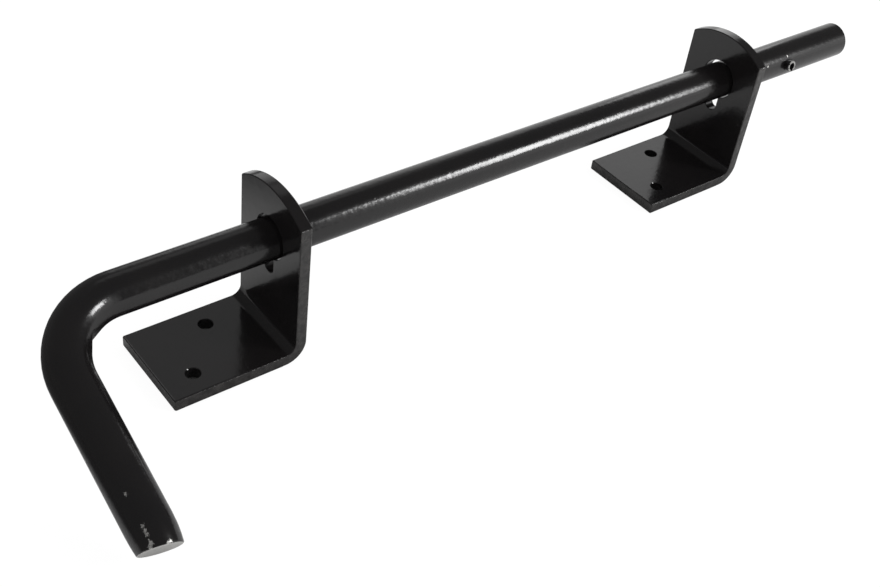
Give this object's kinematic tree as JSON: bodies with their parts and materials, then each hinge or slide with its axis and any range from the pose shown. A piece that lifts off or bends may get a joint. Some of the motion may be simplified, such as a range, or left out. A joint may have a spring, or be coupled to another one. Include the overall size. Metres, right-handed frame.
{
  "type": "ground bolt for a gate",
  "caption": "Round drop rod bent into a handle, sliding in folded screw-on brackets, with a stop pin near its ground end.",
  "frame": {"origin": "midway between the upper bracket's screw holes, on the face that lies against the gate", "axes": "+X along the rod to its ground end, +Z away from the gate, and the handle points to -Y"},
  "size_m": [0.52, 0.1294, 0.084],
  "materials": {
    "rod_paint": "gloss",
    "bracket_paint": "gloss",
    "pin_paint": "gloss"
  },
  "bodies": {
    "brackets": {"upper_bracket": "bracket_paint", "lower_bracket": "bracket_paint"},
    "bolt": {"bolt_rod": "rod_paint", "stop_pin": "pin_paint"}
  },
  "joints": [
    {"name": "bolt_slide", "type": "slide", "parent": "brackets", "child": "bolt", "axis": [1, 0, 0], "range_m": [-0.0402, 0.078]}
  ]
}
